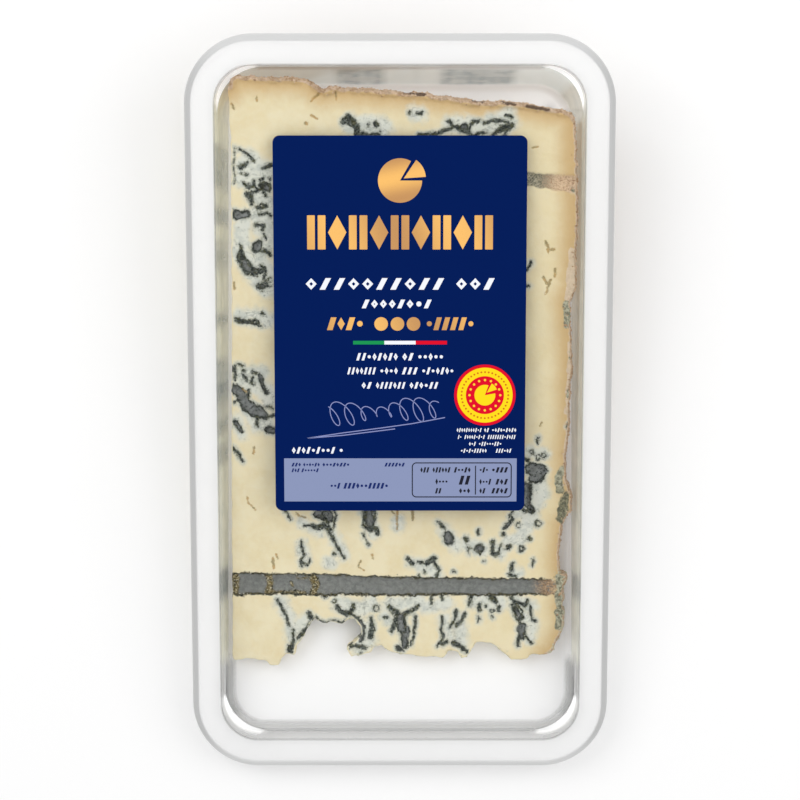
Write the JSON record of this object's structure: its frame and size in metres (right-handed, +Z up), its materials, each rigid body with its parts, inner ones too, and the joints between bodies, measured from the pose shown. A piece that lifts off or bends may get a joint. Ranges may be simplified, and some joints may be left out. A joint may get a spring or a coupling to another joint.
{
  "type": "packed cheese wedge",
  "caption": "Blue-veined cheese wedge lying in a clear sloping tray, sealed with a clear lid film that carries a dark label.",
  "frame": {"origin": "centre of the bounding box's underside, in the plane of the tray's flat base", "axes": "+Z up through the lid, +Y from the wedge's thin broken tip to its rind end, along the tray's length, +X to the right seen from above with the rind end away from the viewer"},
  "size_m": [0.104, 0.1811, 0.0301],
  "materials": {
    "clear_tray": "clear glossy thermoformed plastic",
    "blue_cheese": "moist ivory paste with blue-grey veins and a beige rind",
    "clear_film": "clear glossy film",
    "navy_label": "satin printed self-adhesive label"
  },
  "bodies": {
    "root": {"tray": "clear_tray", "cheese_wedge": "blue_cheese", "lid_film": "clear_film", "label": "navy_label"}
  },
  "joints": []
}
